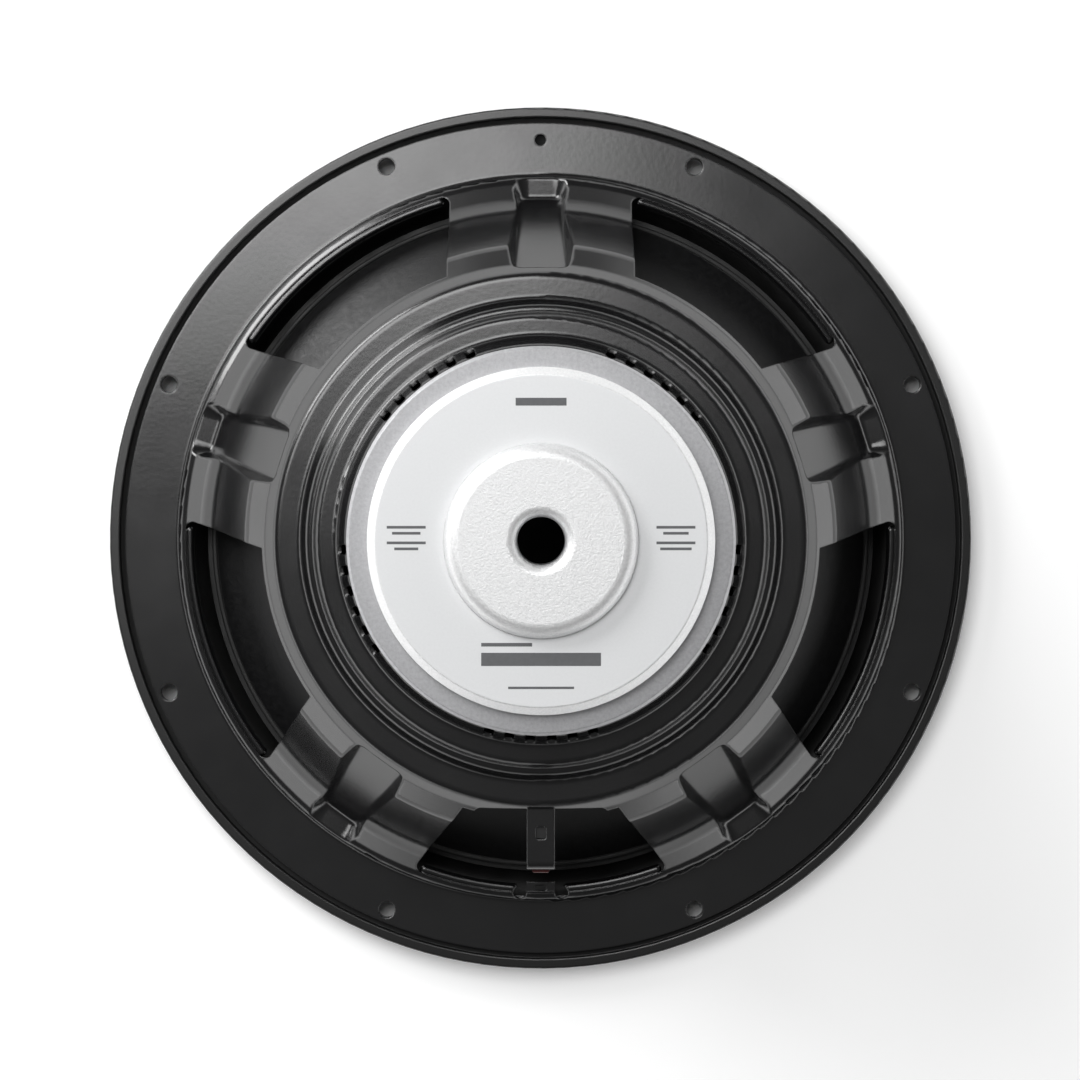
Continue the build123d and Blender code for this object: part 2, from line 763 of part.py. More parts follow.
def make_terminal_block():
    block_back_y = block_front_y + block_depth
    with BuildPart() as block:
        with BuildSketch(Plane.XY.offset(block_top_z)):
            with Locations((0, (block_front_y + block_back_y) / 2)):
                Rectangle(block_width, block_depth)
        extrude(amount=-block_height)
        chamfer(block.edges().filter_by(Axis.Z), length=block_edge)
        top_front = block.edges().group_by(Axis.Z)[-1].group_by(Axis.Y)[0]
        chamfer(top_front, length=tongue_bend_r - sheet + hook_gap)
        # hook that fills the tongue's slot
        with BuildSketch(Plane.XY.offset(block_top_z)):
            with Locations((0, -tongue_slot_y)):
                hook = [size - 2 * hook_gap for size in tongue_slot]
                RectangleRounded(*hook, radius=tongue_slot_corner_r - hook_gap)
        extrude(amount=sheet - hook_drop)
        for height in button_z:
            with BuildSketch(facing_in(block_front_y, height)):
                Rectangle(button_width + 2 * button_gap, button_height + 2 * button_gap)
            extrude(amount=pocket_depth, mode=Mode.SUBTRACT)
            hole_z = height - wire_hole_drop
            with BuildSketch(facing_in(block_front_y, hole_z)):
                Circle(wire_hole_r)
            extrude(amount=wire_hole_depth, mode=Mode.SUBTRACT)
            slot_z = height + contact_thickness / 2
            with BuildSketch(facing_in(pocket_back_y, slot_z)):
                slot = [size + 2 * contact_slot_gap for size in (contact_width, contact_thickness)]
                Rectangle(*slot)
            extrude(amount=block_depth, mode=Mode.SUBTRACT)
    return block


def make_contact(height):
    """Sprung strip behind the button, with a solder lug out of the block's back."""
    tip_y = block_front_y + button_depth - button_proud + leaf_gap
    back_y = block_front_y + block_depth + contact_tail
    path = [
        (back_y, height),
        (pocket_back_y - contact_bend_r, height),
        (tip_y, height + contact_rise),
    ]
    moved, bends = parallel(path, [contact_bend_r], contact_thickness)
    with BuildPart() as contact:
        with BuildSketch(Plane.YZ):
            with BuildLine():
                upper = FilletPolyline(*path, radius=contact_bend_r)
                lower = FilletPolyline(*moved, radius=bends)
                Line(upper @ 0, lower @ 0)
                Line(upper @ 1, lower @ 1)
            make_face()
        extrude(amount=contact_width / 2, both=True)
    return contact


def make_button(height):
    with BuildPart() as button:
        with BuildSketch(facing_in(block_front_y - button_proud, height)):
            Rectangle(button_width, button_height)
        extrude(amount=button_depth)
        fillet(button.edges().group_by(Axis.Y)[0], radius=button_edge_r)
    return button


def make_tinsel_lead(side, height):
    """Braided lead that hangs from a lug to its eyelet on the cone."""
    lug_y = block_front_y + block_depth + contact_tail - lug_end
    eyelet = cone_plane(side * eyelet_x, eyelet_circle_r)
    end = eyelet.origin + eyelet.z_dir * (eyelet_head + tinsel_r + tinsel_gap)
    start = Vector(side * lug_x, lug_y, height - tinsel_r - tinsel_gap / 2)
    reach = end.Y - start.Y
    dip = min(start.Z, end.Z) - tinsel_dip
    heights = [(start.Z + dip) / 2 + tinsel_lead_in, dip, (end.Z + dip) / 2]
    points = [start]
    for (sideways, share), level in zip(tinsel_corners, heights):
        points.append(Vector(start.X + side * sideways, start.Y + reach * share, level))
    points.append(end)
    bends = []
    for before, corner, after in zip(points, points[1:], points[2:]):
        turn = (corner - before).get_angle(after - corner)
        shorter = min((corner - before).length, (after - corner).length)
        bends.append(tinsel_bend_share * shorter / math.tan(math.radians(turn / 2)))
    print("tinsel lead bend radii", [round(radius, 1) for radius in bends])
    with BuildPart() as lead:
        with BuildLine():
            route = FilletPolyline(*points, radius=bends)
        with BuildSketch(Plane(origin=route @ 0, z_dir=route % 0)):
            Circle(tinsel_r)
        sweep()
    return lead


def write(piece, name):
    piece.part.label = name
    export_step(piece.part, f"parts/{name}.step")


os.makedirs("parts", exist_ok=True)
write(make_basket(), "basket")
write(make_trim_ring(), "trim_ring")
write(make_surround(), "surround")
write(make_spider(), "spider")
write(make_top_plate(), "top_plate")
write(make_stakes(), "plate_stakes")
write(make_magnet(), "magnet")
write(make_yoke(), "yoke")
write(make_label(), "rating_label")
write(make_cone(), "cone")
write(make_dust_cap(), "dust_cap")
write(make_tube(neck_z - neck_overlap, former_rear_z, former_inner_r, former_outer_r), "coil_former")
write(make_tube(winding_low_z, winding_low_z + winding_height, former_outer_r, winding_r), "voice_coil")
write(make_tube(neck_z, neck_z + collar_height, former_outer_r, former_outer_r + collar_wall), "coil_collar")
write(make_eyelets(), "lead_eyelets")
write(make_lead_wires(), "cone_lead_wires")
write(make_terminal_block(), "terminal_block")
for name, side, height in zip(("positive", "negative"), (1, -1), button_z):
    write(make_contact(height), f"contact_{name}")
    write(make_button(height), f"push_button_{name}")
    write(make_tinsel_lead(side, height), f"tinsel_lead_{name}")
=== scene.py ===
import math

import bmesh
import bpy
import numpy as np
from mathutils import Matrix, Vector


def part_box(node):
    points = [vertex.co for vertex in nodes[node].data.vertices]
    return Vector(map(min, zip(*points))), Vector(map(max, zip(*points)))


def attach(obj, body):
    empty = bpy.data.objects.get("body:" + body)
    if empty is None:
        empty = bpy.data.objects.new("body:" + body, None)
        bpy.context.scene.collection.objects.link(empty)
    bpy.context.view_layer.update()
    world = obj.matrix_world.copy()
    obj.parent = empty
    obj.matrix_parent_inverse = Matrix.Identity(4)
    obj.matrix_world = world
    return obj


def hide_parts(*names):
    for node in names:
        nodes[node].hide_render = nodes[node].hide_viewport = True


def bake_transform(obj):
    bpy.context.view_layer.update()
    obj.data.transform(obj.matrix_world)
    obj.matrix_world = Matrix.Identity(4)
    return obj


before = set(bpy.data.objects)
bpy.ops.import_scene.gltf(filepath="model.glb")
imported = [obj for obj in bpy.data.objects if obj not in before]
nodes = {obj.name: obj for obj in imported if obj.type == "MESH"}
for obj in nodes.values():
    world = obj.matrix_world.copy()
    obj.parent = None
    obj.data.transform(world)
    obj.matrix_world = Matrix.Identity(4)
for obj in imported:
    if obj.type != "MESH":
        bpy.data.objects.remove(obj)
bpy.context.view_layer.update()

# A 12 inch car subwoofer lying on its front, seen from straight above its motor. Metres, +Z up.
MM = 0.001


# ---- camera ----
CAMERA_PLACE = Vector((-2.0, 10.0, 1400.0)) * MM
CAMERA_AIM = Vector((-0.2, -0.6, 12.3)) * MM
CAMERA_LENS = 126.1
SENSOR_WIDTH = 36.0
NEAR_CLIP = 0.05


def make_camera():
    """Long lens over the motor, with +Y at the top of the view."""
    data = bpy.data.cameras.new("camera")
    data.lens = CAMERA_LENS
    data.sensor_width = SENSOR_WIDTH
    data.clip_start = NEAR_CLIP
    camera = bpy.data.objects.new("camera", data)
    camera.location = CAMERA_PLACE
    back = (CAMERA_PLACE - CAMERA_AIM).normalized()
    right = Vector((0, 1, 0)).cross(back).normalized()
    camera.rotation_mode = "QUATERNION"
    camera.rotation_quaternion = Matrix((right, back.cross(right), back)).transposed().to_quaternion()
    bpy.context.collection.objects.link(camera)
    bpy.context.scene.camera = camera


# ---- materials ----
NOISE_SPREAD = (0.3, 0.7)  # nearly all of a noise's values lie between these


def linear(code):
    """A colour given as sRGB hex, as the linear values that shaders use."""
    parts = [int(code[i : i + 2], 16) / 255 for i in (1, 3, 5)]
    return [c / 12.92 if c <= 0.04045 else ((c + 0.055) / 1.055) ** 2.4 for c in parts] + [1.0]


def add(tree, kind, inputs=None, **settings):
    """Add a node; each input is a value, a socket, or a node whose first output feeds it."""
    made = tree.nodes.new(kind)
    for key, value in settings.items():
        setattr(made, key, value)
    for key, value in (inputs or {}).items():
        if isinstance(value, bpy.types.Node):
            value = value.outputs[0]
        if isinstance(value, bpy.types.NodeSocket):
            tree.links.new(value, made.inputs[key])
        else:
            made.inputs[key].default_value = value
    return made


def material(name, colour, roughness, metallic=0.0, **sockets):
    """A Principled material with its constants on the shader's own sockets."""
    made = bpy.data.materials.new(name)
    made.use_nodes = True
    tree = made.node_tree
    shader = tree.nodes["Principled BSDF"]
    shader.inputs["Base Color"].default_value = linear(colour)
    shader.inputs["Roughness"].default_value = roughness
    shader.inputs["Metallic"].default_value = metallic
    for key, value in sockets.items():
        shader.inputs[key.replace("_", " ")].default_value = value
    return made, tree, shader


def grains(tree, size_mm, detail=2.0, stretch=(1, 1, 1), roughness=0.5):
    """Noise whose grains are about `size_mm` across, on Object coordinates."""
    coords = add(tree, "ShaderNodeTexCoord")
    mapping = add(tree, "ShaderNodeMapping", {"Vector": coords.outputs["Object"], "Scale": stretch})
    inputs = {"Vector": mapping, "Scale": 1 / (size_mm * MM), "Detail": detail, "Roughness": roughness}
    return add(tree, "ShaderNodeTexNoise", inputs)


def vary(tree, shader, pattern, colours=None, gloss=None):
    """Let a pattern from 0 to 1 move the colour between two hex values, and the roughness too."""
    if colours:
        low, high = (linear(code) for code in colours)
        mix = add(tree, "ShaderNodeMix", {0: pattern, 6: low, 7: high}, data_type="RGBA")
        tree.links.new(mix.outputs[2], shader.inputs["Base Color"])
    if gloss:
        ends = dict(zip(("From Min", "From Max", "To Min", "To Max"), NOISE_SPREAD + gloss))
        spread = add(tree, "ShaderNodeMapRange", {"Value": pattern, **ends})
        tree.links.new(spread.outputs[0], shader.inputs["Roughness"])


def relief(tree, shader, height, depth_mm, strength=1.0, edge_mm=0.0):
    """Bumps that follow a pattern, over edges softened by `edge_mm`."""
    inputs = {"Height": height, "Distance": depth_mm * MM, "Strength": strength}
    if edge_mm:
        inputs["Normal"] = add(tree, "ShaderNodeBevel", {"Radius": edge_mm * MM}, samples=6)
    tree.links.new(add(tree, "ShaderNodeBump", inputs).outputs[0], shader.inputs["Normal"])


def stove_enamel():
    """Black stoved enamel on pressed steel: glossy, with a faint orange peel and soft bends."""
    made, tree, shader = material("stoved_black_enamel", "#0a0a0b", roughness=0.19, IOR=1.7)
    vary(tree, shader, grains(tree, size_mm=24.0, detail=3.0), gloss=(0.17, 0.21))
    relief(tree, shader, grains(tree, size_mm=1.8, detail=1.0), depth_mm=0.012, edge_mm=0.9)
    return made


COVERED_RADIUS = 153.9 * MM  # the flange lies on the trim ring inside this
COVERED_HEIGHT = 8.0 * MM  # and only the ring's back, over this height, is covered


def moulded_trim():
    """Moulded black ABS, eroded to a satin with a fine grain; painted shade where the flange lies on it,
    near black and fully rough there.
    """
    made, tree, shader = material("moulded_satin_abs", "#0e0e0e", roughness=0.27, IOR=1.6)
    place = add(tree, "ShaderNodeTexCoord").outputs["Object"]
    height = add(tree, "ShaderNodeSeparateXYZ", {"Vector": place}).outputs["Z"]
    level = add(tree, "ShaderNodeVectorMath", {0: place, 1: (1, 1, 0)}, operation="MULTIPLY")
    reach = add(tree, "ShaderNodeVectorMath", {0: level}, operation="LENGTH").outputs["Value"]
    outside = add(tree, "ShaderNodeMath", {0: reach, 1: COVERED_RADIUS}, operation="GREATER_THAN")
    below = add(tree, "ShaderNodeMath", {0: height, 1: COVERED_HEIGHT}, operation="LESS_THAN")
    outside_painted_shade = add(tree, "ShaderNodeMath", {0: outside, 1: below}, operation="MAXIMUM")
    # painted shade: the ring's back under the flange is near black and dull, standing in for the flange's
    # shade
    vary(tree, shader, outside_painted_shade, colours=("#020202", "#0e0e0e"), gloss=(0.95, 0.27))
    relief(tree, shader, grains(tree, size_mm=0.5), depth_mm=0.008, edge_mm=0.5)
    return made


def plated_forging():
    """Forged steel, shot-blasted and bright zinc plated: pale metal with a fine sparkle."""
    made, tree, shader = material("blasted_zinc_plate", "#d0d1d2", roughness=0.5, metallic=0.75)
    grit = grains(tree, size_mm=0.75, detail=3.0, roughness=0.75)
    vary(tree, shader, grit, colours=("#cacbcc", "#f9f9f9"), gloss=(0.42, 0.58))
    relief(tree, shader, grit, depth_mm=0.11, edge_mm=0.6)
    return made


def ground_ferrite():
    """Sintered ferrite, ground flat: mid grey with fine straight grinding lines and dull speckle."""
    made, tree, shader = material("ground_ferrite", "#98989a", roughness=0.42, metallic=0.55)
    speckle = grains(tree, size_mm=1.2, detail=4.0, roughness=0.7)
    lines = grains(tree, size_mm=0.8, detail=3.0, stretch=(1.0, 0.06, 1.0))
    vary(tree, shader, speckle, colours=("#8f8f91", "#bcbcbe"))
    vary(tree, shader, lines, gloss=(0.34, 0.52))
    relief(tree, shader, lines, depth_mm=0.02, strength=0.7, edge_mm=0.5)
    return made


def label_foil():
    """Matt silver polyester foil: even pale grey, with a barely visible brushed grain."""
    made, tree, shader = material("matt_silver_foil", "#d2d3d4", roughness=0.5, metallic=0.25)
    brushed = grains(tree, size_mm=0.9)
    vary(tree, shader, brushed, colours=("#dcddde", "#e2e3e4"))
    relief(tree, shader, brushed, depth_mm=0.004, strength=0.6)
    return made


def printed_ink():
    """Screen-printed ink: flat dark grey that drifts a little in depth."""
    made, tree, shader = material("screen_printed_ink", "#5d5e60", roughness=0.55)
    vary(tree, shader, grains(tree, size_mm=1.5), colours=("#58595b", "#636466"))
    return made


def pulp(name, colours, shine):
    """Pressed paper pulp, dyed and lacquered: matted fibres a few millimetres long."""
    made, tree, shader = material(name, colours[0], roughness=shine, IOR=1.48)
    fibres = grains(tree, size_mm=2.2, detail=6.0, roughness=0.72)
    vary(tree, shader, fibres, colours=colours, gloss=(shine - 0.06, shine + 0.1))
    relief(tree, shader, fibres, depth_mm=0.1, strength=0.7)
    return made


def butyl_rubber():
    """Moulded butyl rubber: black, dull, with a bloom of faint grey in patches."""
    made, tree, shader = material("moulded_butyl_rubber", "#101010", roughness=0.55, IOR=1.5)
    bloom = grains(tree, size_mm=9.0, detail=4.0)
    vary(tree, shader, bloom, colours=("#0c0c0c", "#191919"), gloss=(0.48, 0.64))
    relief(tree, shader, grains(tree, size_mm=0.6), depth_mm=0.01)
    return made


WEAVE_PITCH = 0.9 * MM  # the real cloth has a thread every 0.6 mm, which is too fine to show


def spider_cloth():
    """Cotton cloth stiffened with dark phenolic resin: a plain weave with shiny thread tops, and painted
    shade that darkens the dips between threads.
    """
    made, tree, shader = material("resin_cotton_weave", "#2a211a", roughness=0.6, IOR=1.5)
    coords = add(tree, "ShaderNodeTexCoord")
    parts = add(tree, "ShaderNodeSeparateXYZ", {"Vector": coords.outputs["Object"]})
    waves = []
    for axis in ("X", "Y"):
        phase = {0: parts.outputs[axis], 1: 2 * math.pi / WEAVE_PITCH}
        scaled = add(tree, "ShaderNodeMath", phase, operation="MULTIPLY")
        waves.append(add(tree, "ShaderNodeMath", {0: scaled}, operation="SINE"))
    crossing = add(tree, "ShaderNodeMath", dict(enumerate(waves)), operation="MULTIPLY")
    height = add(tree, "ShaderNodeMath", {0: crossing, 1: 0.5, 2: 0.5}, operation="MULTIPLY_ADD")
    # painted shade: the colour is lighter on the thread tops and darker in the dips between them
    vary(tree, shader, height, colours=("#17120e", "#3d3026"), gloss=(0.7, 0.45))
    relief(tree, shader, height, depth_mm=0.12, strength=0.9)
    return made


BRAID_PITCH = 1.4 * MM
BRAID_STRANDS = 3  # in each of the two crossing sets


def tinsel_braid():
    """Braided copper tinsel on the lead's own UV map: two sets of strands that cross, with painted shade
    darkening the dips between them.
    """
    made, tree, shader = material("copper_tinsel_braid", "#c98a5c", roughness=0.34, metallic=1.0)
    parts = add(tree, "ShaderNodeSeparateXYZ", {"Vector": add(tree, "ShaderNodeUVMap", uv_map="lead")})
    strands = []
    for slant in (1, -1):
        along = {0: parts.outputs["X"], 1: 2 * math.pi / BRAID_PITCH}
        around = {0: parts.outputs["Y"], 1: slant * 2 * math.pi * BRAID_STRANDS}
        ways = [add(tree, "ShaderNodeMath", way, operation="MULTIPLY") for way in (along, around)]
        phase = add(tree, "ShaderNodeMath", dict(enumerate(ways)), operation="ADD")
        strands.append(add(tree, "ShaderNodeMath", {0: phase}, operation="SINE"))
    top = add(tree, "ShaderNodeMath", dict(enumerate(strands)), operation="MAXIMUM")
    height = add(tree, "ShaderNodeMath", {0: top, 1: 0.5, 2: 0.5}, operation="MULTIPLY_ADD")
    # painted shade: the copper is bright on the strand tops and darker in the dips between them
    vary(tree, shader, height, colours=("#7a4526", "#c98a5c"))
    relief(tree, shader, height, depth_mm=0.12)
    return made


def metal(name, colours, roughness, grain_mm=0.4):
    """A drawn or rolled metal: its colour drifts a little and its sheen follows a fine grain."""
    made, tree, shader = material(name, colours[1], roughness, metallic=1.0)
    grain = grains(tree, grain_mm, detail=3.0)
    vary(tree, shader, grain, colours=colours, gloss=(roughness - 0.06, roughness + 0.1))
    relief(tree, shader, grain, depth_mm=0.006, strength=0.8, edge_mm=0.15)
    return made


def moulded(name, colours, roughness, grain_mm=0.35):
    """A moulded plastic or cured resin: nearly even colour over a fine mould texture."""
    made, tree, shader = material(name, colours[1], roughness, IOR=1.5)
    vary(tree, shader, grains(tree, size_mm=6.0), colours=colours)
    relief(tree, shader, grains(tree, grain_mm), depth_mm=0.008, strength=0.9, edge_mm=0.2)
    return made


def finish_cad(name, finish):
    """Give a CAD node its material."""
    slots = nodes[name].data.materials
    slots.clear()
    slots.append(finish)


# ---- meshes ----
BEAD_SEED = 9
BEAD_SWELLS = (3, 7, 11)  # swells round a hand-laid bead
BEAD_LIFT = 0.4  # height's share of a swell
SHARP_ANGLE = math.radians(50)
WELD = 0.001 * MM


def add_object(name, mesh):
    """Put a mesh or a curve in the scene as an object of its own."""
    made = bpy.data.objects.new(name, mesh)
    bpy.context.collection.objects.link(made)
    return made


def lathe(name, profile, segments, finish, wobble=0.0):
    """Turn a closed (radius, height) outline into a ring; `wobble` makes a hand-laid bead uneven."""
    phases = np.random.default_rng(BEAD_SEED).uniform(0, 2 * math.pi, len(BEAD_SWELLS))
    verts = []
    for i in range(segments):
        angle = 2 * math.pi * i / segments
        uneven = wobble * sum(math.sin(angle * swells + phase) for swells, phase in zip(BEAD_SWELLS, phases))
        for radius, height in profile:
            reach = radius + uneven
            verts.append((reach * math.cos(angle), reach * math.sin(angle), height + uneven * BEAD_LIFT))
    count = len(profile)
    faces = []
    for i in range(segments):
        here, there = i * count, (i + 1) % segments * count
        for j in range(count):
            k = (j + 1) % count
            faces.append((here + j, there + j, there + k, here + k))
    mesh = bpy.data.meshes.new(name)
    mesh.from_pydata(verts, [], faces)
    work = bmesh.new()
    work.from_mesh(mesh)
    bmesh.ops.recalc_face_normals(work, faces=work.faces)
    work.to_mesh(mesh)
    work.free()
    mesh.shade_smooth()
    mesh.set_sharp_from_angle(angle=SHARP_ANGLE)
    mesh.materials.append(finish)
    return add_object(name, mesh)


def follow_cone(piece, weights):
    """Bake the ring's transform into its mesh. The weights are not used."""
    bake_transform(piece)


def radii(piece):
    """Each point's distance from the motor's axis."""
    places = np.empty(len(piece.data.vertices) * 3)
    piece.data.vertices.foreach_get("co", places)
    return np.hypot(*places.reshape(-1, 3)[:, :2].T)


def ease(share):
    """From 0 to 1 with a level start and end."""
    share = np.clip(share, 0, 1)
    return share * share * (3 - 2 * share)


# ---- surround ----
ROLL_WIDTH = 13.0 * MM
ROLL_THICKNESS = 1.2 * MM
ROLL_FLATTEN = 0.93  # the roll's depth as a share of a full half circle
ROLL_STEPS = 24
ROLL_OUTSIDE_DROP = 0.7 * MM  # the front face starts under the land's middle
ROLL_INSIDE_RISE = 0.3 * MM  # and the rear face over it
LAND_THICKNESS = 1.5 * MM
LAND_WIDTH = 9.0 * MM
LAND_ROUND = 0.4 * MM
LIP_WIDTH = 6.0 * MM
CLEAR = 0.05 * MM
SURROUND_SEGMENTS = 192


def roll_side(middle, height, reach):
    """One face of the half roll in section; a negative reach runs it from the inside outwards."""
    turns = [math.pi * step / ROLL_STEPS for step in range(ROLL_STEPS + 1)]
    depth = abs(reach) * ROLL_FLATTEN
    return [(middle + reach * math.cos(turn), height - depth * math.sin(turn)) for turn in turns]


def make_surround(rubber):
    """Half-roll rubber edge, from its land under the flange to its lip under the cone's edge."""
    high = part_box("surround")[1]
    outer, top = high.x, high.z - CLEAR
    base = top - LAND_THICKNESS
    roll_outer = outer - LAND_WIDTH
    middle = roll_outer - ROLL_WIDTH / 2
    inner = roll_outer - ROLL_WIDTH - LIP_WIDTH
    centre = top - LAND_THICKNESS / 2
    profile = [(inner, top), (inner, base)]
    profile += roll_side(middle, centre - ROLL_OUTSIDE_DROP, -(ROLL_WIDTH + ROLL_THICKNESS) / 2)
    profile += [(outer - LAND_ROUND, base), (outer, base + LAND_ROUND), (outer, top)]
    profile += roll_side(middle, centre + ROLL_INSIDE_RISE, (ROLL_WIDTH - ROLL_THICKNESS) / 2)
    piece = lathe("surround_roll", profile, SURROUND_SEGMENTS, rubber)
    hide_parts("surround")
    follow_cone(piece, ease((roll_outer - radii(piece)) / ROLL_WIDTH))


# ---- spider ----
SPIDER_THICKNESS = 0.7 * MM
SPIDER_LAND = 5.4 * MM
SPIDER_HUB = 3.0 * MM
SPIDER_WAVES = 6.0
SPIDER_RISE = 1.45 * MM
SPIDER_COLLAR_RISE = 2.2 * MM  # the collar's top over the disc's
SPIDER_FIT = 0.02 * MM
SPIDER_EASE = 0.35  # share of the weights passed to follow_cone that eases in and out
SPIDER_ACROSS = 170
SPIDER_AROUND = 241


def corrugation_tree():
    """A disc whose height follows a cosine between its hub and its glue land."""
    tree = bpy.data.node_groups.new("corrugated_disc", "GeometryNodeTree")
    tree.interface.new_socket("Geometry", in_out="OUTPUT", socket_type="NodeSocketGeometry")
    ends = ("Inner Radius", "Outer Radius", "Wave Start", "Wave End")
    for name in (*ends, "Height", "Rise", "Waves", "Thickness"):
        tree.interface.new_socket(name, in_out="INPUT", socket_type="NodeSocketFloat")
    tree.interface.new_socket("Cloth", in_out="INPUT", socket_type="NodeSocketMaterial")
    given = add(tree, "NodeGroupInput").outputs

    counts = {"Size X": 1.0, "Size Y": 1.0, "Vertices X": SPIDER_ACROSS, "Vertices Y": SPIDER_AROUND}
    grid = add(tree, "GeometryNodeMeshGrid", counts)
    spot = add(tree, "ShaderNodeSeparateXYZ", {"Vector": add(tree, "GeometryNodeInputPosition")})
    across = add(tree, "ShaderNodeMath", {0: spot.outputs["X"], 1: 0.5}, operation="ADD")
    turn = add(tree, "ShaderNodeMath", {0: spot.outputs["Y"], 1: 2 * math.pi}, operation="MULTIPLY")

    ends = {0: given["Outer Radius"], 1: given["Inner Radius"]}
    width = add(tree, "ShaderNodeMath", ends, operation="SUBTRACT")
    line = {0: across, 1: width, 2: given["Inner Radius"]}
    radius = add(tree, "ShaderNodeMath", line, operation="MULTIPLY_ADD")
    gone = add(tree, "ShaderNodeMath", {0: radius, 1: given["Wave Start"]}, operation="SUBTRACT")
    ends = {0: given["Wave End"], 1: given["Wave Start"]}
    span = add(tree, "ShaderNodeMath", ends, operation="SUBTRACT")
    share = add(tree, "ShaderNodeMath", {0: gone, 1: span}, operation="DIVIDE", use_clamp=True)
    waves = add(tree, "ShaderNodeMath", {0: share, 1: given["Waves"]}, operation="MULTIPLY")
    phase = add(tree, "ShaderNodeMath", {0: waves, 1: 2 * math.pi}, operation="MULTIPLY")
    cosine = add(tree, "ShaderNodeMath", {0: phase}, operation="COSINE")
    wave = add(tree, "ShaderNodeMath", {0: cosine, 1: 1.0}, operation="SUBTRACT")
    rise = {0: wave, 1: given["Rise"], 2: given["Height"]}
    place = {"Z": add(tree, "ShaderNodeMath", rise, operation="MULTIPLY_ADD")}
    for axis, wave_kind in (("X", "COSINE"), ("Y", "SINE")):
        part = add(tree, "ShaderNodeMath", {0: turn}, operation=wave_kind)
        place[axis] = add(tree, "ShaderNodeMath", {0: radius, 1: part}, operation="MULTIPLY")

    spots = add(tree, "ShaderNodeCombineXYZ", place)
    shaped = add(tree, "GeometryNodeSetPosition", {"Geometry": grid, "Position": spots})
    closed = add(tree, "GeometryNodeMergeByDistance", {"Geometry": shaped, "Distance": WELD})
    wall = {"Mesh": closed, "Offset": (0, 0, 1), "Offset Scale": given["Thickness"], "Individual": False}
    raised = add(tree, "GeometryNodeExtrudeMesh", wall)
    underside = add(tree, "GeometryNodeFlipFaces", {"Mesh": closed})
    joined = add(tree, "GeometryNodeJoinGeometry")
    for side in (raised, underside):
        tree.links.new(side.outputs[0], joined.inputs[0])
    sealed = add(tree, "GeometryNodeMergeByDistance", {"Geometry": joined, "Distance": WELD})
    smooth = add(tree, "GeometryNodeSetShadeSmooth", {"Geometry": sealed})
    real = add(tree, "GeometryNodeRealizeInstances", {"Geometry": smooth})
    dressed = add(tree, "GeometryNodeSetMaterial", {"Geometry": real, "Material": given["Cloth"]})
    add(tree, "NodeGroupOutput", {0: dressed})
    return tree


def grown(name, tree, values):
    """Run a Geometry Nodes tree with its inputs set, and keep the result as a plain mesh."""
    seed = add_object(name + "_seed", bpy.data.meshes.new(name + "_seed"))
    modifier = seed.modifiers.new("shape", "NODES")
    modifier.node_group = tree
    for item in tree.interface.items_tree:
        if item.in_out == "INPUT" and item.name in values:
            modifier[item.identifier] = values[item.name]
    ready = seed.evaluated_get(bpy.context.evaluated_depsgraph_get())
    mesh = bpy.data.meshes.new_from_object(ready)
    mesh.name = name
    bpy.data.objects.remove(seed)
    return add_object(name, mesh)


def make_spider(cloth):
    """Corrugated disc from the coil's tube to the basket's step."""
    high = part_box("spider")[1]
    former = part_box("coil_former")[1].x
    wave_start = former + SPIDER_HUB
    wave_end = high.x - SPIDER_LAND
    values = {
        "Inner Radius": former + SPIDER_FIT,
        "Outer Radius": high.x,
        "Wave Start": wave_start,
        "Wave End": wave_end,
        "Height": high.z - SPIDER_COLLAR_RISE,
        "Rise": SPIDER_RISE,
        "Waves": SPIDER_WAVES,
        "Thickness": SPIDER_THICKNESS,
        "Cloth": cloth,
    }
    piece = grown("spider_disc", corrugation_tree(), values)
    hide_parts("spider")
    share = np.clip((wave_end - radii(piece)) / (wave_end - wave_start), 0, 1)
    follow_cone(piece, ease(share) * SPIDER_EASE + share * (1 - SPIDER_EASE))


# ---- voice coil ----
WIRE = 0.6 * MM
WIRE_FILL = 0.49  # a turn's radius as a share of the wire, so that turns stay apart
WIRE_SIDES = 8
TURN_STEPS = 96


def winding_tree():
    """Turns of round wire, one above the other."""
    tree = bpy.data.node_groups.new("coil_winding", "GeometryNodeTree")
    tree.interface.new_socket("Geometry", in_out="OUTPUT", socket_type="NodeSocketGeometry")
    tree.interface.new_socket("Turns", in_out="INPUT", socket_type="NodeSocketInt")
    for name in ("Radius", "Wire", "Start Height"):
        tree.interface.new_socket(name, in_out="INPUT", socket_type="NodeSocketFloat")
    tree.interface.new_socket("Copper", in_out="INPUT", socket_type="NodeSocketMaterial")
    given = add(tree, "NodeGroupInput").outputs
    step = add(tree, "ShaderNodeCombineXYZ", {"Z": given["Wire"]})
    start = add(tree, "ShaderNodeCombineXYZ", {"Z": given["Start Height"]})
    stack = {"Count": given["Turns"], "Start Location": start, "Offset": step}
    line = add(tree, "GeometryNodeMeshLine", stack)
    size = {"Resolution": TURN_STEPS, "Radius": given["Radius"]}
    ring = add(tree, "GeometryNodeCurvePrimitiveCircle", size)
    half = add(tree, "ShaderNodeMath", {0: given["Wire"], 1: WIRE_FILL}, operation="MULTIPLY")
    section = add(tree, "GeometryNodeCurvePrimitiveCircle", {"Resolution": WIRE_SIDES, "Radius": half})
    turn = add(tree, "GeometryNodeCurveToMesh", {"Curve": ring, "Profile Curve": section})
    smooth = add(tree, "GeometryNodeSetShadeSmooth", {"Geometry": turn})
    turns = add(tree, "GeometryNodeInstanceOnPoints", {"Points": line, "Instance": smooth})
    real = add(tree, "GeometryNodeRealizeInstances", {"Geometry": turns})
    dressed = add(tree, "GeometryNodeSetMaterial", {"Geometry": real, "Material": given["Copper"]})
    add(tree, "NodeGroupOutput", {0: dressed})
    return tree


